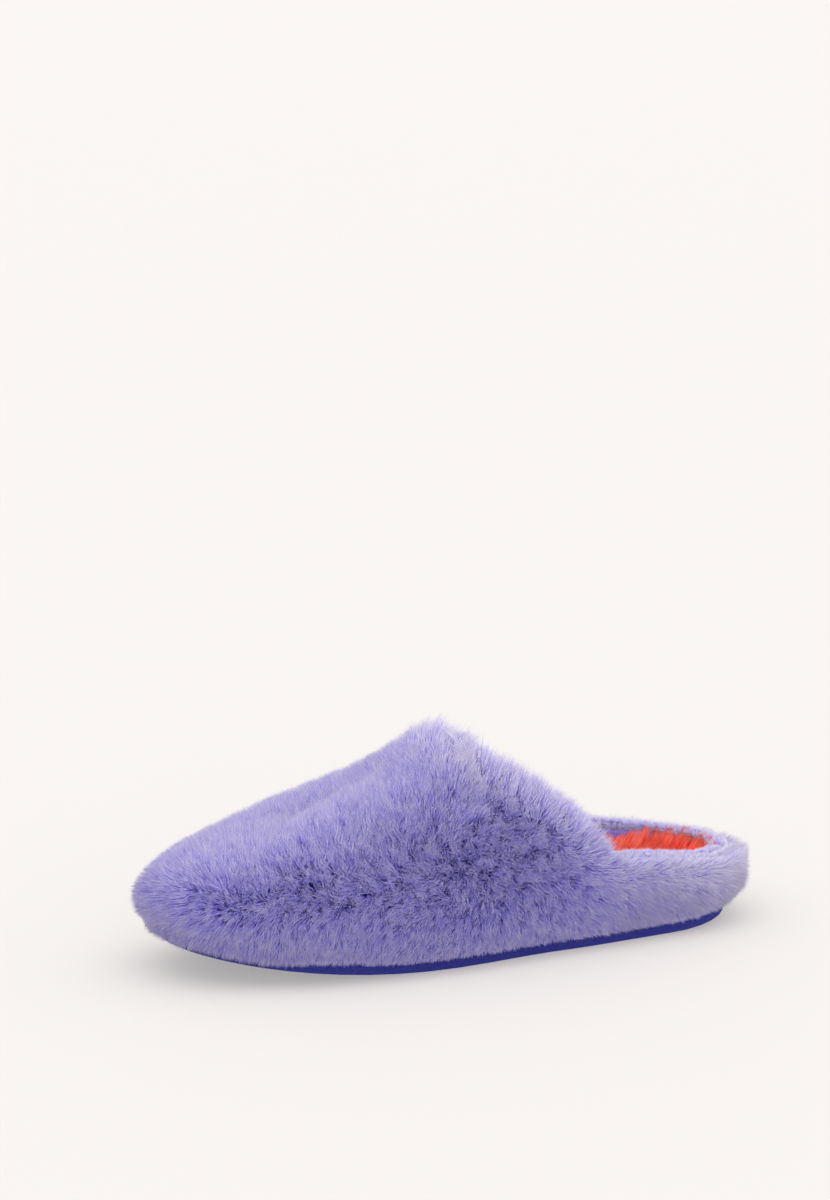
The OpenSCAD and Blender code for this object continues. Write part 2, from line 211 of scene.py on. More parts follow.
class Skin:
    """the faces of one layer that the layer over it lies on (or with free, those that nothing covers),
    with soft normals and the edges round them"""

    def __init__(self, under, over, free=False):
        shape, cover = welded(under), surface_of(*([over] if isinstance(over, str) else over))
        loose = [f for f in shape.faces if self.covered(f, cover) == free]
        bmesh.ops.delete(shape, geom=loose, context="FACES")
        bmesh.ops.holes_fill(shape, edges=shape.edges, sides=PINHOLE_SIDES)
        bmesh.ops.triangulate(shape, faces=shape.faces)
        shape.normal_update()
        shape.verts.index_update()
        self.points = np.array([v.co for v in shape.verts])
        self.faces = np.array([[v.index for v in f.verts] for f in shape.faces])
        normals = [v.normal.copy() for v in shape.verts]
        soft = [n + sum((normals[e.other_vert(v).index] for e in v.link_edges), Vector()) * 0.5
                for v, n in zip(shape.verts, normals)]
        self.normals = unit(np.array(soft))
        corners = self.points[self.faces]
        sides = corners[:, 1:] - corners[:, :1]
        self.areas = np.linalg.norm(np.cross(sides[:, 0], sides[:, 1]), axis=1) / 2
        self.area = self.areas.sum()
        self.edges = {"rim": [], "foot": [], "seam": []}
        for e in shape.edges:
            if len(e.link_faces) == 1:
                self.edges[self.kind(e)].append(self.edge_facts(e))
        shape.free()

    @staticmethod
    def covered(face, cover):
        """whether the cover lies against this face: close by, and facing it"""
        _, facing, _, gap = cover.find_nearest(face.calc_center_median())
        return gap < COVER_GAP and facing.dot(face.normal) < FACING

    @staticmethod
    def kind(e):
        """which edge of the skin this is: along the sole, at the side seam, or round the opening"""
        mid = (e.verts[0].co + e.verts[1].co) / 2
        if SOLE.find_nearest(mid)[3] < EDGE_GAP:
            return "foot"
        return "seam" if SEAMS.find_nearest(mid)[3] < EDGE_GAP else "rim"

    @staticmethod
    def edge_facts(e):
        a, b = (v.co for v in e.verts)
        face = e.link_faces[0]
        out = (b - a).cross(face.normal).normalized()
        if out.dot((a + b) / 2 - face.calc_center_median()) < 0:
            out = -out
        return [tuple(a), tuple(b), tuple(out)]


def unit(v):
    return v / np.maximum(np.linalg.norm(v, axis=-1, keepdims=True), 1e-12)


vamp_skin = Skin("vamp_foam", "vamp_fur")
heel_skin = Skin("heel_counter", "heel_fur")
vamp_inside = Skin("vamp_foam", "vamp_lining")
heel_inside = Skin("heel_foam", "heel_lining")
sock_skin = Skin("footbed_foam", "insole_fur")
for label, skin in (("vamp", vamp_skin), ("heel", heel_skin), ("vamp inside", vamp_inside),
                    ("heel inside", heel_inside), ("sock", sock_skin)):
    print(label, "faces", len(skin.faces), "area cm2", round(skin.area * 1e4, 1),
          {kind: len(found) for kind, found in skin.edges.items()})

# %% [markdown]
# ## Roots, and which way the pile leans
# Each hair needs a root on the skin, a direction and a length. Hair particles would do this, but they vanish
# when the model leaves Blender, so the hairs here are real mesh.
# Plush is never combed perfectly: it stands off its backing, sags a little, drifts in patches as wide as a
# finger, and gathers in small tufts. Round the opening it fans over the edge like the turned edge of a rug.
# The length is not guessed: each hair grows until it meets the outside of the CAD's pile solid.

# %% Sow and comb
def sow(skin, per_mm2, seed):
    """roots and normals scattered evenly over a skin"""
    rng = np.random.default_rng(seed)
    count = int(skin.area * 1e6 * per_mm2)
    pick = rng.choice(len(skin.faces), count, p=skin.areas / skin.area)
    a, b = rng.random((2, count, 1))
    fold = a + b > 1
    a, b = np.where(fold, 1 - a, a), np.where(fold, 1 - b, b)
    weights = np.stack([1 - a - b, a, b], axis=1)
    roots = (skin.points[skin.faces[pick]] * weights).sum(axis=1)
    normals = unit((skin.normals[skin.faces[pick]] * weights).sum(axis=1))
    return roots, normals


NEIGHBOURS = 5
SEAM_STEP = 2.5 * MM
IN_SKIN, PAST_FACE = 0.4 * MM, 0.05 * MM


def edge_pull(skin, kind, roots, reach):
    """for each root, how near it is to an edge (1 at the edge, 0 beyond reach) and the way out over it"""
    spots, outs = [], []
    for a, b, out in skin.edges[kind]:
        steps = max(1, int(math.dist(a, b) / MM))
        spots += [tuple(np.array(a) + (np.array(b) - a) * (i + 0.5) / steps) for i in range(steps)]
        outs += [out] * steps
    if not spots:
        return np.zeros((len(roots), 1)), np.zeros_like(roots)
    finder = KDTree(len(spots))
    for i, spot in enumerate(spots):
        finder.insert(spot, i)
    finder.balance()
    outs, few = np.array(outs), min(NEIGHBOURS, len(outs))
    found = [finder.find_n(root, few) for root in roots]
    near = np.clip(1 - np.array([f[0][2] for f in found]) / reach, 0, 1)[:, None]
    return near, unit(outs[[[spot[1] for spot in f] for f in found]].sum(axis=1))


def drift(roots, patch, seed):
    """a slowly changing push, patch metres across"""
    offset = Vector((seed * 7.3, seed * 3.1, seed * 5.7))
    return np.array([noise.noise_vector(Vector(root) / patch + offset) for root in roots])


def grown(roots, ways, outside, shortest, longest):
    """how far each hair can grow before it leaves the pile's outside, stepping over the seams"""
    lengths = []
    for root, way in zip(roots, ways):
        root, way, at, end = Vector(root), Vector(way), IN_SKIN, shortest
        while at < longest:
            spot, facing, _, far = outside.ray_cast(root + way * at, way, longest - at)
            if spot is None or (facing.dot(way) < 0 and at + far > end + SEAM_STEP):
                break
            at += far
            if facing.dot(way) > 0:
                end = at
            at += PAST_FACE
        lengths.append(end)
    return np.clip(np.array(lengths), shortest, longest)[:, None]


def gather(roots, tips, spacing, pull, seed):
    """draws each tip towards the tip of its tuft's head; spacing is heads per hair; gives tips and tufts"""
    rng = np.random.default_rng(seed)
    count = max(8, int(len(roots) * spacing))
    heads = rng.choice(len(roots), count, replace=False)
    finder = KDTree(count)
    for i, head in enumerate(heads):
        finder.insert(roots[head], i)
    finder.balance()
    found = np.array([finder.find(root)[1] for root in roots])
    strength = pull * (0.4 + 0.6 * rng.random((count, 1)))[found]
    target = tips[heads[found]] + (roots - roots[heads[found]]) * 0.25
    return tips + (target - tips) * strength, found


# %% [markdown]
# ## One hair, many times
# A hair here is a three-sided spike with a bulge low down and a fine tip, closed at both ends, so that it
# also prints and exports as a solid. Curves with a bevel would be easier to draw but far heavier.
# All the hairs of a piece are written into one mesh at once with numpy, which takes a second or two.
# Each hair gets its own narrow column of the texture map: across picks its shade, along runs root to tip.

# %% Build the hairs
COLUMNS = 64
RINGS = np.array([0.0, 0.5])
GIRTH = np.array([0.75, 1.0])


def hairs(name, roots, knees, tips, width, shade, material):
    """one mesh of three-sided hairs through root, knee and tip; shade picks the column, 0 dark to 1 pale"""
    n = len(roots)
    rng = np.random.default_rng(len(name) * 977 + n)
    t = np.append(RINGS, 1.0)[None, :, None]
    spine = (1 - t) ** 2 * roots[:, None] + 2 * t * (1 - t) * knees[:, None] + t ** 2 * tips[:, None]
    along = unit(tips - roots)
    side = unit(np.cross(along, unit(rng.normal(size=(n, 3)))))
    other = np.cross(along, side)
    turn = 2 * np.pi * np.arange(3) / 3
    ring = (np.cos(turn)[None, :, None] * side[:, None] + np.sin(turn)[None, :, None] * other[:, None])
    girth = GIRTH[None, :, None, None] * (width / 2)[:, None, None, None]
    verts = spine[:, :2, None] + ring[:, None] * girth
    verts = np.concatenate([verts.reshape(n, 6, 3), spine[:, 2:]], axis=1)
    verts[..., 2] = np.maximum(verts[..., 2], low.z + 0.5 * MM)
    corner = np.array([0, 1, 4, 3, 1, 2, 5, 4, 2, 0, 3, 5, 3, 4, 6, 4, 5, 6, 5, 3, 6, 2, 1, 0])
    sizes = np.array([4] * 3 + [3] * 4)
    across = np.append(np.tile([0.2, 0.5, 0.8], 2), 0.5)
    height = np.append(np.repeat(RINGS * 0.96 + 0.02, 3), 0.98)
    mesh = bpy.data.meshes.new(name)
    mesh.vertices.add(7 * n)
    mesh.vertices.foreach_set("co", verts.ravel())
    mesh.loops.add(len(corner) * n)
    mesh.loops.foreach_set("vertex_index", (corner[None] + 7 * np.arange(n)[:, None]).ravel())
    mesh.polygons.add(len(sizes) * n)
    starts = np.append(0, np.cumsum(np.tile(sizes, n))[:-1])
    mesh.polygons.foreach_set("loop_start", starts)
    mesh.polygons.foreach_set("use_smooth", np.ones(len(starts), bool))
    mesh.update(calc_edges=True)
    column = np.clip((shade * COLUMNS).astype(int), 0, COLUMNS - 1)
    u = (column[:, None] + across[corner][None]) / COLUMNS
    v = np.broadcast_to(height[corner][None], u.shape)
    layer = mesh.uv_layers.new(name="OFBake")
    layer.uv.foreach_set("vector", np.stack([u, v], axis=-1).ravel())
    mesh.materials.append(material)
    thing = bpy.data.objects.new(name, mesh)
    scene.collection.objects.link(thing)
    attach(thing, "root")
    return thing


# %% [markdown]
# ## How dyed pile takes light
# Plush looks dark between the tufts and pale where the fine tips catch light, and here both are painted into
# the colour.
# Each hair runs from a dark root, painted shade, through the dye's own colour to a pale tip, painted highlight,
# and hairs differ from each other.
# One node group does this for every pile and takes four colours, so lavender and coral share it.
# A little sheen on the shader itself gives the soft glow that fine fibres have at the edges.

# %% Pile colour group and finishes
def pile_colour_and_light_group():
    """a node group: across the map picks a hair's shade, along the map runs root (painted shade), body, tip
    (painted highlight)
    """
    group = bpy.data.node_groups.new("pile_colour_and_painted_light", "ShaderNodeTree")
    for label in ("Shaded root", "Body", "Lit tip", "Pale"):
        group.interface.new_socket(label, in_out="INPUT", socket_type="NodeSocketColor")
    for label in ("Paleness", "Darkness"):
        group.interface.new_socket(label, in_out="INPUT", socket_type="NodeSocketFloat")
    group.interface.new_socket("Color", in_out="OUTPUT", socket_type="NodeSocketColor")
    new, link = group.nodes.new, group.links.new
    given, made = new("NodeGroupInput"), new("NodeGroupOutput")
    place = new("ShaderNodeUVMap")
    place.uv_map = "OFBake"
    split = new("ShaderNodeSeparateXYZ")
    link(place.outputs[0], split.inputs[0])

    def span(source, start, end):
        node = new("ShaderNodeMapRange")
        node.interpolation_type = "SMOOTHSTEP"
        node.inputs["From Min"].default_value = start
        node.inputs["From Max"].default_value = end
        link(source, node.inputs["Value"])
        return node.outputs["Result"]

    def blend(factor, a, b, kind="MIX"):
        node = new("ShaderNodeMix")
        node.data_type = "RGBA"
        node.blend_type = kind
        link(factor, node.inputs[0])
        link(a, node.inputs[6])
        link(b, node.inputs[7])
        return node.outputs[2]

    def times(a, b):
        node = new("ShaderNodeMath")
        node.operation = "MULTIPLY"
        link(a, node.inputs[0])
        link(b, node.inputs[1])
        return node.outputs[0]

    along = split.outputs["Y"]
    colour = blend(span(along, 0.0, 0.55), given.outputs["Shaded root"], given.outputs["Body"])
    colour = blend(span(along, 0.45, 1.0), colour, given.outputs["Lit tip"])
    shade = split.outputs["X"]
    pale = times(times(span(shade, 0.5, 1.0), given.outputs["Paleness"]), span(along, 0.1, 0.8))
    colour = blend(pale, colour, given.outputs["Pale"])
    dark = times(span(shade, 0.5, 0.0), given.outputs["Darkness"])
    colour = blend(dark, colour, given.outputs["Shaded root"])
    link(colour, made.inputs["Color"])
    return group


PILE_COLOUR_AND_LIGHT = pile_colour_and_light_group()


def pile_finish(name, root, body, lit_tip, pale, paleness=0.8, darkness=0.6, sheen=0.1):
    """dyed pile: display colours at the root (painted shade), the body (the dye), the tip (painted highlight)
    and in the palest hairs (part painted highlight)
    """
    material = finish(name, body, 0.85, Specular_IOR_Level=0.15, Sheen_Weight=sheen, Sheen_Roughness=0.45)
    tree = material.node_tree
    shader = tree.nodes["Principled BSDF"]
    shader.inputs["Sheen Tint"].default_value = lit_tip
    group = tree.nodes.new("ShaderNodeGroup")
    group.node_tree = PILE_COLOUR_AND_LIGHT
    for label, value in (("Shaded root", root), ("Body", body), ("Lit tip", lit_tip), ("Pale", pale),
                         ("Paleness", paleness), ("Darkness", darkness)):
        group.inputs[label].default_value = value
    tree.links.new(group.outputs["Color"], shader.inputs["Base Color"])
    return material


# The dark root colours are painted shade between the tufts, and the pale tip colours are painted highlight.
LAVENDER = pile_finish("lavender_pile", display(70, 54, 208), display(126, 112, 220), display(186, 180, 217),
                       display(230, 226, 238))
CORAL = pile_finish("coral_pile", display(190, 16, 18), display(242, 58, 46), display(250, 112, 92),
                    display(252, 160, 144))
print("materials", [m.name for m in bpy.data.materials])

# %% [markdown]
# ## The lavender pile
# The upper is covered in pile about 12 mm long on the vamp and round the heel.
# Each skin is sown, combed and grown, then cut into pieces along its length so that no piece gets too heavy.
# Near the sole the hairs hang as a short fringe, and near the opening they fan up and over the edge.
# The nap runs forward on the vamp and backward round the heel, so hairs cross the side seam and hide it.
# A hair that would leave the CAD pile at once, as some do at the rim, grows to a set stray length instead.

# %% Grow the outer pile
DOWN = np.array([0, 0, -1.0])
FRONT, FRONT_BLEND = low.y + 62 * MM, 22 * MM
BACK, BACK_BLEND = 62 * MM, 50 * MM
HEEL_EDGE, TOP_EDGE = 3.2 * MM, 5.5 * MM
RIM_REACH, FOOT_REACH = 16 * MM, 12 * MM
FRINGE, HEM, FRONT_HEM = 9 * MM, 0.6 * MM, 4 * MM
SHORTEST, LONGEST = 0.3 * MM, 14 * MM


def edge_length(z):
    """how far the pile stands over the edge: little round the heel, up to 8 mm at the top of the vamp"""
    return HEEL_EDGE + TOP_EDGE * np.clip((z / MM - 36) / 22, 0, 1)


def nap(points):
    """the lean of the pile: forward and a little up along the vamp's sides, backward round the heel"""
    along = points[:, 1] / MM
    forward = np.interp(along, [-95, -70, -30, 10, 40, 58, 95], [-0.3, -0.5, -0.55, -0.4, -0.1, 0.22, 0.25])
    rise = np.interp(along, [-90, -30, 40, 70], [-0.05, 0.20, 0.16, -0.05])
    droop = np.interp(points[:, 2] / MM, [18, 45], [0.4, 0])
    return np.stack([np.zeros(len(points)), forward, rise - droop], axis=1)


def foot_height(points):
    """the height of the sole's top edge beside each point"""
    ys = np.linspace(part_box("outsole")[0][1] + 2 * MM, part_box("outsole")[1][1] - 2 * MM, 60)
    tops = [SOLE.ray_cast(Vector((middle.x, y, 0.2)), Vector((0, 0, -1)))[0].z for y in ys]
    return np.interp(points[:, 1:2], ys, tops)


OUTSIDE = surface_of("vamp_fur", "heel_fur", "side_seam_outer", "side_seam_inner")


def outer_pile(skin, stray, per_mm2, seed):
    """combed hairs over one outer skin, stray long where they leave it at once: roots, knees, tips, shades"""
    rng = np.random.default_rng(seed)
    roots, normals = sow(skin, per_mm2, seed)
    rim, over = edge_pull(skin, "rim", roots, RIM_REACH)
    foot = edge_pull(skin, "foot", roots, FOOT_REACH)[0]
    steep = 1 - np.abs(normals[:, 2:3])
    front = np.clip((FRONT - roots[:, 1:2]) / FRONT_BLEND, 0, 1)
    behind = np.clip((roots[:, 1:2] - BACK) / BACK_BLEND, 0, 1)
    comb = nap(roots) * steep + 0.14 * drift(roots, 30 * MM, seed) + 0.30 * drift(roots, 4 * MM, seed + 1)
    comb += 0.18 * drift(roots, 2 * MM, seed + 3) + 0.15 * rng.normal(size=roots.shape)
    comb += (0.25 + 0.9 * front) * foot ** 2 * DOWN + 1.3 * rim ** 2.5 * over
    ways = unit(normals * (1 - 0.35 * rim) + comb)
    full = grown(roots, ways, OUTSIDE, stray, LONGEST)
    lift = np.clip((ways * over).sum(axis=1, keepdims=True), 0, 1) ** 2
    full = full + (edge_length(roots[:, 2:3]) - HEEL_EDGE) * np.minimum(lift, 0.6)
    drop = roots[:, 2:3] - foot_height(roots) + HEM + FRONT_HEM * front
    hem = np.maximum(drop, SHORTEST) / np.maximum(-ways[:, 2:3], 0.03)
    full = np.where(foot > 0, np.minimum(np.maximum(full, FRINGE), hem), full)
    full = full * (1 - foot * (0.2 * behind + 0.15 * front))
    vary = rng.uniform(0.86, 1.12, size=full.shape) + 0.05 * (roots[:, 1:2] < 30 * MM)
    wisps = rng.random(full.shape) < 0.02
    length = full * np.where(wisps, rng.uniform(1.12, 1.2, size=full.shape), vary)
    tips = roots + ways * length
    tips, tuft = gather(roots, tips, 0.055, 0.4, seed + 2)
    knees = roots + unit(normals + 0.5 * ways) * length * 0.5 + 0.6 * MM * rng.normal(size=roots.shape)
    tone = rng.normal(0, 0.20, size=len(roots)) + rng.normal(0, 0.08, size=tuft.max() + 1)[tuft]
    # Shade: random tone per hair and per tuft, and a little paler near the sole. It is also paler near the
    # opening, on upward-facing skin and round the heel, which is painted light.
    shade = 0.42 + tone + 0.4 * rim[:, 0] + 0.10 * foot[:, 0] + 0.10 * normals[:, 2] + 0.18 * behind[:, 0]
    return roots, knees, tips, np.clip(shade, 0, 0.999)


def pile_pieces(name, parts, width, material, nodes, most=18000):
    """cuts one pile into pieces along its length, each of at most that many hairs"""
    roots, knees, tips, shade = parts
    order = np.argsort(roots[:, 1])
    made = []
    for i, chosen in enumerate(np.array_split(order, math.ceil(len(order) / most))):
        rng = np.random.default_rng(i + 40)
        widths = width * rng.uniform(0.75, 1.2, size=len(chosen))
        piece = hairs(f"{name}_{i + 1:02d}", roots[chosen], knees[chosen], tips[chosen], widths,
                      shade[chosen], material)
        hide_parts(*nodes)
        made.append(piece)
    print(name, "hairs", len(roots), "pieces", len(made))
    return made


PER_MM2 = 10.3
HAIR = 0.26 * MM
vamp_pile = pile_pieces("vamp_pile", outer_pile(vamp_skin, 3.5 * MM, PER_MM2, 11), HAIR, LAVENDER,
                        ["vamp_fur"])
heel_pile = pile_pieces("heel_pile", outer_pile(heel_skin, 4.2 * MM, PER_MM2 * 1.3, 23), HAIR, LAVENDER,
                        ["heel_fur"])

# %% [markdown]
# ## Pile round the opening and over the side seams
# On a real slipper the binding that closes the edge disappears under the pile. Hairs sown on the binding itself
# do the same here. They are longer at the top of the vamp than round the low heel.
# The side seams are two thin strips between vamp and heel, and a row of paler hairs covers each.

# %% Grow the edge and seam pile
def edge_pile(binding, layers, per_mm2, seed):
    """hairs that fan out of the faces of a binding that no layer covers"""
    rng = np.random.default_rng(seed)
    skin = Skin(binding, layers, free=True)
    roots, normals = sow(skin, per_mm2, seed)
    ways = unit(normals + 0.3 * drift(roots, 12 * MM, seed) + 0.55 * rng.normal(size=roots.shape))
    length = edge_length(roots[:, 2:3]) * rng.uniform(0.8, 1.25, size=(len(roots), 1))
    tips = roots + ways * length
    tips = gather(roots, tips, 0.04, 0.5, seed + 2)[0]
    knees = roots + unit(normals + ways) * length * 0.5
    # All edge hairs are pale: painted highlight, for fine hairs lit along the edge.
    shade = np.clip(0.80 + rng.normal(0, 0.12, size=len(roots)), 0, 0.999)
    return roots, knees, tips, shade


for name, node, layers, per_mm2, seed in (
        ("throat_edge_pile", "throat_binding", ("vamp_foam", "vamp_lining"), 14, 31),
        ("heel_edge_pile", "heel_binding", ("heel_foam", "heel_counter", "heel_lining"), 20, 37)):
    pile_pieces(name, edge_pile(node, layers, per_mm2, seed), HAIR, LAVENDER, [node])


def seam_pile(side, per_mm, seed):
    """paler hairs in the gap at one side seam; side is 1 or -1 along x"""
    rng = np.random.default_rng(seed)
    roots, normals = [], []
    for a, b, out in heel_skin.edges["seam"]:
        a, b, out = np.array(a), np.array(b), np.array(out)
        if a[0] * side < 0:
            continue
        facing = np.cross(b - a, out)
        facing *= np.sign(facing[0] * side) / np.linalg.norm(facing)
        count = max(2, int(np.linalg.norm(b - a) / MM * per_mm))
        t, gap = rng.random((count, 1)), rng.random((count, 1))
        roots.append(a + (b - a) * t + out * gap * 1.6 * MM)
        normals.append(np.repeat(facing[None], count, axis=0))
    roots, normals = np.concatenate(roots), np.concatenate(normals)
    top = ((roots[:, 2] - roots[:, 2].min()) / np.ptp(roots[:, 2]))[:, None]
    ways = unit(normals + DOWN * (0.2 - 0.9 * top ** 3) + 0.2 * rng.normal(size=roots.shape))
    length = rng.uniform(9.5, 12.5, size=(len(roots), 1)) * MM * (0.35 + 0.65 * np.clip(top * 2.2 + 0.3, 0, 1))
    tips = roots + ways * length
    tips = gather(roots, tips, 0.04, 0.5, seed + 2)[0]
    knees = roots + unit(normals + 0.5 * ways) * length * 0.5
    # Paler towards the top, where the seam meets the opening: painted highlight, as on the pile along the
    # opening.
    shade = np.clip(0.48 + 0.35 * top[:, 0] + rng.normal(0, 0.16, size=len(roots)), 0, 0.999)
    return roots, knees, tips, shade


for label, side in (("outer", 1 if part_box("side_seam_outer")[0][0] > middle.x else -1),
                    ("inner", 1 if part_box("side_seam_inner")[0][0] > middle.x else -1)):
    pile_pieces(f"{label}_seam_pile", seam_pile(side, 16, 51 + side), HAIR, LAVENDER,
                [f"side_seam_{label}"])

# %% [markdown]
# ## The pile inside
# The vamp is lined in coral plush and the heel in lavender. Inside, the pile is short, about 5 mm.
# The sock that the foot stands on has longer coral hairs that lie along the foot in wavy locks,
# pressed flat in the middle and standing up against the walls. All of it uses the same steps as outside.

# %% Grow the lining and sock pile
sock_tree = surface_of("insole_fur")


def sock_top(roots):
    """the height of the sock's top under each point, taken along its middle line"""
    ys = np.linspace(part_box("insole_fur")[0][1] + 2 * MM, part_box("insole_fur")[1][1] - 2 * MM, 60)
    tops = [sock_tree.ray_cast(Vector((middle.x, y, 0.2)), Vector((0, 0, -1)))[0].z for y in ys]
    return np.interp(roots[:, 1], ys, tops)


def lining_pile(skin, per_mm2, long, from_y, above, seed):
    """short pile on the inside of the upper, from some way above the sock up to the edge"""
    rng = np.random.default_rng(seed)
    roots, normals = sow(skin, per_mm2, seed)
    kept = (roots[:, 2] > sock_top(roots) + above) & (roots[:, 1] > from_y)
    roots, normals = roots[kept], normals[kept]
    rim, over = edge_pull(skin, "rim", roots, 8 * MM)
    ways = unit(normals * (1 - 0.4 * rim) + 0.9 * rim * over + 0.3 * drift(roots, 8 * MM, seed)
                + 0.25 * rng.normal(size=roots.shape) - 0.35 * DOWN)
    length = long * rng.uniform(0.8, 1.1, size=(len(roots), 1)) * (1 - 0.35 * rim)
    tips = roots + ways * length
    tips = gather(roots, tips, 0.04, 0.5, seed + 2)[0]
    knees = roots + unit(normals + ways) * length * 0.5
    # Paler near the opening: painted highlight where the lining's edge catches light.
    shade = np.clip(0.42 + 0.35 * rim[:, 0] + rng.normal(0, 0.14, size=len(roots)), 0, 0.999)
    return roots, knees, tips, shade


def sock_pile(per_mm2, seed):
    """long hairs lying along the foot in wavy locks"""
    rng = np.random.default_rng(seed)
    roots, normals = sow(sock_skin, per_mm2, seed)
    edge, out = edge_pull(sock_skin, "rim", roots, 9 * MM)
    wave = drift(roots, 15 * MM, seed)
    lie = np.stack([0.45 * wave[:, 0], np.full(len(roots), 0.9), 0.75 + 0.25 * wave[:, 2]], axis=1)
    ways = unit(lie + 2.2 * edge * normals + 0.25 * edge ** 2 * out + 0.12 * rng.normal(size=roots.shape))
    length = (rng.uniform(10.5, 13.5, size=(len(roots), 1)) + 2.5 * edge) * MM
    tips = roots + ways * length
    tips, tuft = gather(roots, tips, 0.02, 0.65, seed + 2)
    knees = roots + unit(normals * 1.3 + ways) * length * 0.45
    tone = rng.normal(0, 0.14, size=len(roots)) + rng.normal(0, 0.14, size=tuft.max() + 1)[tuft]
    return roots, knees, tips, np.clip(0.45 + tone, 0, 0.999)


pile_pieces("vamp_lining_pile", lining_pile(vamp_inside, 5, 6 * MM, -40 * MM, -2 * MM, 61), HAIR, CORAL,
            ["vamp_lining"])
pile_pieces("heel_lining_pile", lining_pile(heel_inside, 11, 4.5 * MM, low.y, 3.5 * MM, 67), HAIR, LAVENDER,
            ["heel_lining"])
sock_hairs = pile_pieces("sock_pile", sock_pile(4.4, 71), 0.40 * MM, CORAL, ["insole_fur"])

# %% [markdown]
# ## Backings
# Under the pile is the knitted cloth that it is sewn through. Its dark colour is painted shade: it shows as the
# dark ground between tufts.
# Each backing is the skin's faces lifted a little and given a thickness.

# %% Cut the backings
def knit_group():
    """a node group: fine rows of knitting as a mask and a height"""
    group = bpy.data.node_groups.new("knit_rows", "ShaderNodeTree")
    group.interface.new_socket("Rows per metre", in_out="INPUT", socket_type="NodeSocketFloat")
    group.interface.new_socket("Mask", in_out="OUTPUT", socket_type="NodeSocketFloat")
    new, link = group.nodes.new, group.links.new
    given, made, where = new("NodeGroupInput"), new("NodeGroupOutput"), new("ShaderNodeTexCoord")
    rows = []
    for direction in ("X", "Y"):
        wave = new("ShaderNodeTexWave")
        wave.bands_direction = direction
        wave.inputs["Distortion"].default_value = 1.5
        wave.inputs["Detail Scale"].default_value = 2
        link(where.outputs["Object"], wave.inputs["Vector"])
        link(given.outputs["Rows per metre"], wave.inputs["Scale"])
        rows.append(wave)
    both = new("ShaderNodeMath")
    both.operation = "MULTIPLY"
    link(rows[0].outputs["Fac"], both.inputs[0])
    link(rows[1].outputs["Fac"], both.inputs[1])
    link(both.outputs[0], made.inputs["Mask"])
    return group


KNIT = knit_group()


def grained(name, dark, pale, group, amounts, roughness, bump, **extra):
    """a finish whose colour and height both follow a node group's mask"""
    material = finish(name, pale, roughness, **extra)
    tree = material.node_tree
    shader = tree.nodes["Principled BSDF"]
    node = tree.nodes.new("ShaderNodeGroup")
    node.node_tree = group
    for label, value in amounts.items():
        node.inputs[label].default_value = value
    blend = tree.nodes.new("ShaderNodeMix")
    blend.data_type = "RGBA"
    blend.inputs[6].default_value = dark
    blend.inputs[7].default_value = pale
    tree.links.new(node.outputs["Mask"], blend.inputs[0])
    tree.links.new(blend.outputs[2], shader.inputs["Base Color"])
    relief = tree.nodes.new("ShaderNodeBump")
    relief.inputs["Distance"].default_value = bump
    relief.inputs["Strength"].default_value = 0.6
    tree.links.new(node.outputs["Mask"], relief.inputs["Height"])
    tree.links.new(relief.outputs["Normal"], shader.inputs["Normal"])
    return material


def backing(name, skin, lift, thick, material):
    """a closed cloth a little off a skin"""
    count = len(skin.points)
    verts = np.concatenate([skin.points + skin.normals * lift, skin.points + skin.normals * (lift + thick)])
    faces = [tuple(int(i) + count for i in f) for f in skin.faces]
    faces += [tuple(int(i) for i in f[::-1]) for f in skin.faces]
    shape = bmesh.new()
    for v in verts:
        shape.verts.new(v)
    shape.verts.ensure_lookup_table()
    for f in faces:
        shape.faces.new([shape.verts[i] for i in f])
    shape.verts.index_update()
    lone = [e for e in shape.edges if len(e.link_faces) == 1 and min(v.index for v in e.verts) >= count]
    for e in lone:
        a, b = (loop.vert.index for loop in (e.link_loops[0], e.link_loops[0].link_loop_next))
        shape.faces.new([shape.verts[i] for i in (b, a, a - count, b - count)])
    mesh = bpy.data.meshes.new(name)
    shape.to_mesh(mesh)
    shape.free()
    mesh.polygons.foreach_set("use_smooth", np.ones(len(mesh.polygons), bool))
    mesh.materials.append(material)
    thing = bpy.data.objects.new(name, mesh)
    scene.collection.objects.link(thing)
    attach(thing, "root")
    return thing


# The backing knits are coloured dark as painted shade for the ground between the tufts. The knit rows are real.
SHADED_LAVENDER_KNIT = grained("lavender_backing_painted_shade", display(56, 46, 156), display(86, 74, 200), KNIT,
                        {"Rows per metre": 900}, 0.95, 0.0003)
LAVENDER_PLUSH = grained("lavender_lining_cloth", display(112, 102, 192), display(158, 150, 222), KNIT,
                         {"Rows per metre": 900}, 0.95, 0.0003)
SHADED_CORAL_KNIT = grained("coral_backing_painted_shade", display(120, 14, 18), display(176, 26, 26), KNIT,
                     {"Rows per metre": 900}, 0.95, 0.0003)


def cut_sheet(nodes):
    """hides the CAD nodes that a backing stands in for"""
    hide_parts(*nodes)


vamp_backing = backing("vamp_backing", vamp_skin, 0.15 * MM, 0.6 * MM, SHADED_LAVENDER_KNIT)
cut_sheet(["vamp_fur"])
heel_backing = backing("heel_backing", heel_skin, 0.15 * MM, 0.6 * MM, SHADED_LAVENDER_KNIT)
cut_sheet(["heel_fur"])
sock_backing = backing("sock_backing", sock_skin, 0.1 * MM, 0.8 * MM, SHADED_CORAL_KNIT)
cut_sheet(["insole_fur"])
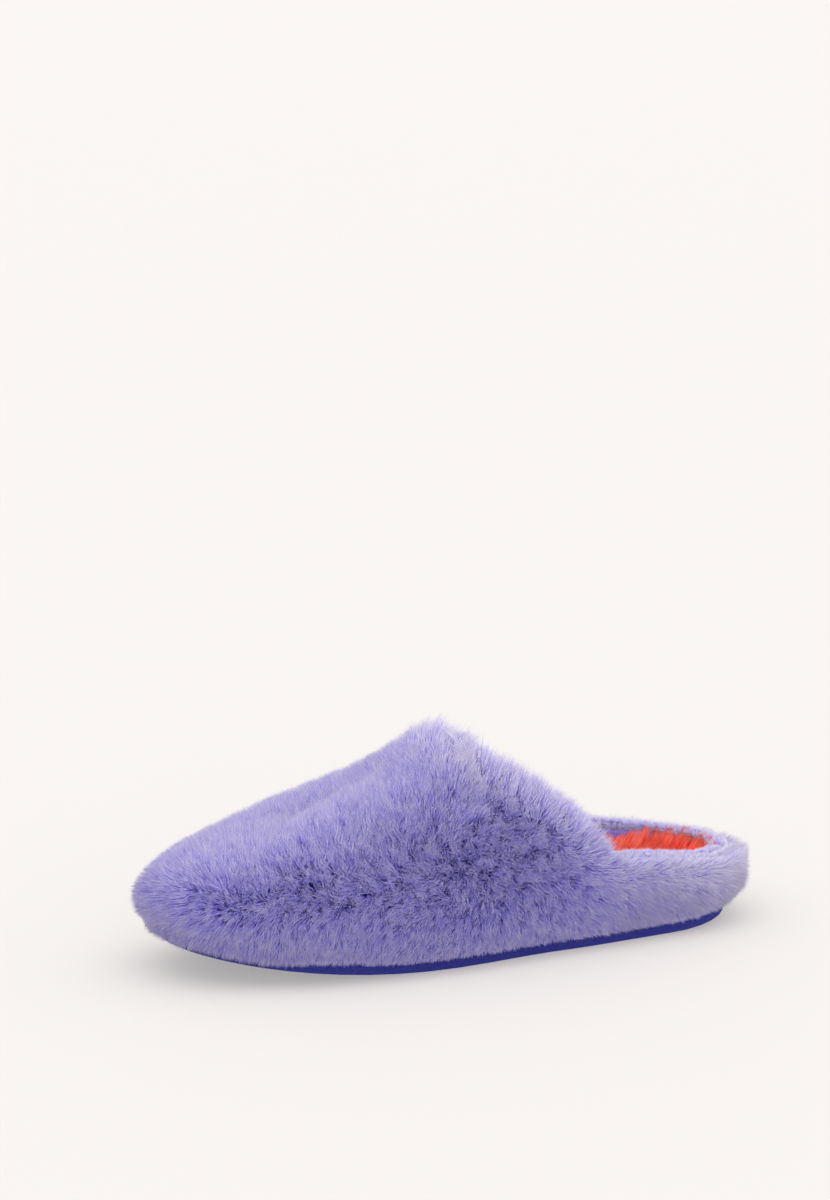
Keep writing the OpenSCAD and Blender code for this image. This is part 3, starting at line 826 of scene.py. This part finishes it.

# %% [markdown]
# ## Foam, linings and binding
# The layers under the pile are soft too: foam with rounded cut edges, plush linings and a knitted binding tape.
# Each takes its CAD layer as the pattern: the faces are divided, eased round the corners and given small lumps.
# The footbed and the heel pad are thick cut foam, so they are rebuilt from small voxels, which lets their
# corners round over evenly.

# %% Speckle group and soft layers
def speckle_group():
    """a node group: grains or cells of a given size as a mask"""
    group = bpy.data.node_groups.new("speckle", "ShaderNodeTree")
    for label in ("Grains per metre", "Cells"):
        group.interface.new_socket(label, in_out="INPUT", socket_type="NodeSocketFloat")
    group.interface.new_socket("Mask", in_out="OUTPUT", socket_type="NodeSocketFloat")
    new, link = group.nodes.new, group.links.new
    given, made, where = new("NodeGroupInput"), new("NodeGroupOutput"), new("ShaderNodeTexCoord")
    grains, cells, blend = new("ShaderNodeTexNoise"), new("ShaderNodeTexVoronoi"), new("ShaderNodeMix")
    grains.inputs["Detail"].default_value = 3
    grains.inputs["Roughness"].default_value = 0.7
    for texture in (grains, cells):
        link(where.outputs["Object"], texture.inputs["Vector"])
        link(given.outputs["Grains per metre"], texture.inputs["Scale"])
    link(given.outputs["Cells"], blend.inputs[0])
    link(grains.outputs["Fac"], blend.inputs[2])
    link(cells.outputs["Distance"], blend.inputs[3])
    sharper = new("ShaderNodeMapRange")
    sharper.inputs["From Min"].default_value = 0.25
    sharper.inputs["From Max"].default_value = 0.75
    link(blend.outputs[0], sharper.inputs["Value"])
    link(sharper.outputs["Result"], made.inputs["Mask"])
    return group


SPECKLE = speckle_group()
FOAM = grained("cream_foam", display(196, 184, 158), display(240, 232, 212), SPECKLE,
               {"Grains per metre": 1100, "Cells": 1.0}, 0.9, 0.0003)
GEL = grained("soft_gel", display(120, 170, 200), display(150, 196, 220), SPECKLE,
              {"Grains per metre": 120, "Cells": 0.0}, 0.35, 0.0001, Coat_Weight=0.3)
FELT = grained("grey_felt", display(112, 106, 98), display(168, 160, 148), SPECKLE,
               {"Grains per metre": 1400, "Cells": 0.0}, 0.95, 0.0003)
TAPE = grained("binding_tape", display(104, 96, 170), display(150, 142, 208), KNIT,
               {"Rows per metre": 1300}, 0.9, 0.0003)


def soft_mesh(node, voxel=None, ease=0.5, rounds=1):
    """a CAD layer's mesh with eased corners; voxel rebuilds it from small cubes of that size first"""
    shape = welded(node)
    if voxel is None:
        bmesh.ops.subdivide_edges(shape, edges=shape.edges, cuts=1, use_grid_fill=True)
    mesh = bpy.data.meshes.new(node + "_pattern")
    shape.to_mesh(mesh)
    shape.free()
    if voxel is not None:
        pattern = bpy.data.objects.new(node + "_pattern", mesh)
        scene.collection.objects.link(pattern)
        rebuild = pattern.modifiers.new("rebuild", "REMESH")
        rebuild.mode = "VOXEL"
        rebuild.voxel_size = voxel
        mesh = bpy.data.meshes.new_from_object(pattern.evaluated_get(bpy.context.evaluated_depsgraph_get()))
        bpy.data.objects.remove(pattern)
    shape = bmesh.new()
    shape.from_mesh(mesh)
    for _ in range(rounds):
        bmesh.ops.smooth_vert(shape, verts=shape.verts, factor=ease,
                              use_axis_x=True, use_axis_y=True, use_axis_z=True)
    shape.to_mesh(mesh)
    shape.free()
    return mesh


def soft_layer(name, node, material, slot, lump=0.1 * MM, **how):
    """a softened copy of a CAD layer as a new piece"""
    mesh = soft_mesh(node, **how)
    shape = bmesh.new()
    shape.from_mesh(mesh)
    shape.normal_update()
    for v in shape.verts:
        v.co += v.normal * lump * noise.noise(v.co / (6 * MM))
    shape.to_mesh(mesh)
    shape.free()
    mesh.polygons.foreach_set("use_smooth", np.ones(len(mesh.polygons), bool))
    mesh.materials.clear()
    mesh.materials.append(material)
    piece = bpy.data.objects.new(name, mesh)
    scene.collection.objects.link(piece)
    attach(piece, "root")
    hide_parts(node)
    print(name, "faces", len(mesh.polygons))
    return piece


for name, node, fill, how in (("vamp_padding", "vamp_foam", 1.0, {}), ("heel_padding", "heel_foam", 1.0, {}),
                              ("footbed", "footbed_foam", 1.0, {"voxel": 1.6 * MM, "rounds": 3})):
    soft_layer(name, node, FOAM, "foam", **how)
soft_layer("heel_cushion", "heel_pad", GEL, "gel_pad", voxel=1.0 * MM, rounds=3)
soft_layer("felt_filler", "bottom_filler", FELT, "felt", voxel=0.5 * MM, rounds=1, lump=0.05 * MM)
soft_layer("vamp_lining_cloth", "vamp_lining", SHADED_CORAL_KNIT, "coral_lining", ease=0.2)
soft_layer("heel_lining_cloth", "heel_lining", LAVENDER_PLUSH, "lavender_lining", ease=0.2)
soft_layer("throat_tape", "throat_binding", TAPE, "binding", ease=0.3)
soft_layer("heel_tape", "heel_binding", TAPE, "binding", ease=0.3)

# %% [markdown]
# ## The sole
# The outsole is one sheet of moulded foam rubber, matt indigo, with a fine open grain and eased edges.
# Its shape in the CAD is right but knife sharp, so a copy gets a small rounded bevel on every sharp edge:
# light caught on that edge is what makes moulded rubber look moulded.

# %% Bevel the sole
RUBBER = grained("indigo_rubber", display(22, 24, 98), display(54, 54, 138), SPECKLE,
                 {"Grains per metre": 1500, "Cells": 0.15}, 0.85, 0.0003, Specular_IOR_Level=0.2)


FLAT, SHARP, CREASE = math.radians(0.4), math.radians(50), math.radians(35)
BEVEL = 0.7 * MM


def sole_piece():
    """the outsole with its sharp edges rounded over"""
    shape = welded("outsole")
    bmesh.ops.dissolve_limit(shape, angle_limit=FLAT, verts=shape.verts, edges=shape.edges)
    sharp = [e for e in shape.edges if len(e.link_faces) == 2 and e.calc_face_angle() > SHARP]
    bmesh.ops.bevel(shape, geom=sharp, offset=BEVEL, segments=3, profile=0.5, affect="EDGES",
                    clamp_overlap=True)
    open_edges = sum(len(e.link_faces) != 2 for e in shape.edges)
    mesh = bpy.data.meshes.new("sole")
    shape.to_mesh(mesh)
    shape.free()
    mesh.polygons.foreach_set("use_smooth", np.ones(len(mesh.polygons), bool))
    mesh.set_sharp_from_angle(angle=CREASE)
    mesh.materials.append(RUBBER)
    piece = bpy.data.objects.new("sole", mesh)
    scene.collection.objects.link(piece)
    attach(piece, "root")
    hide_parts("outsole")
    print("sole faces", len(mesh.polygons), "open edges", open_edges)


sole_piece()

# %% [markdown]
# ## Board, stiffeners and thread
# The insole board, toe puff, heel counter and stitches already have their real shape in the CAD, so those
# objects stay and only get finishes: pressed fibre board, buff thermoplastic sheet and spun thread.

# %% Finish the stiff parts
BOARD = grained("fibre_board", display(150, 120, 84), display(196, 164, 120), SPECKLE,
                {"Grains per metre": 700, "Cells": 0.0}, 0.8, 0.0002)
STIFF = grained("stiffener_sheet", display(196, 176, 136), display(222, 206, 170), SPECKLE,
                {"Grains per metre": 500, "Cells": 0.4}, 0.55, 0.0001)
THREAD = grained("spun_thread", display(80, 74, 150), display(132, 124, 200), KNIT,
                 {"Rows per metre": 2600}, 0.7, 0.0002)
for node, material in (("insole_board", BOARD), ("toe_puff", STIFF), ("heel_counter", STIFF),
                       ("throat_stitches", THREAD), ("heel_stitches", THREAD)):
    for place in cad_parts[node].material_slots:
        place.material = material
    print(node, "finish", material.name)
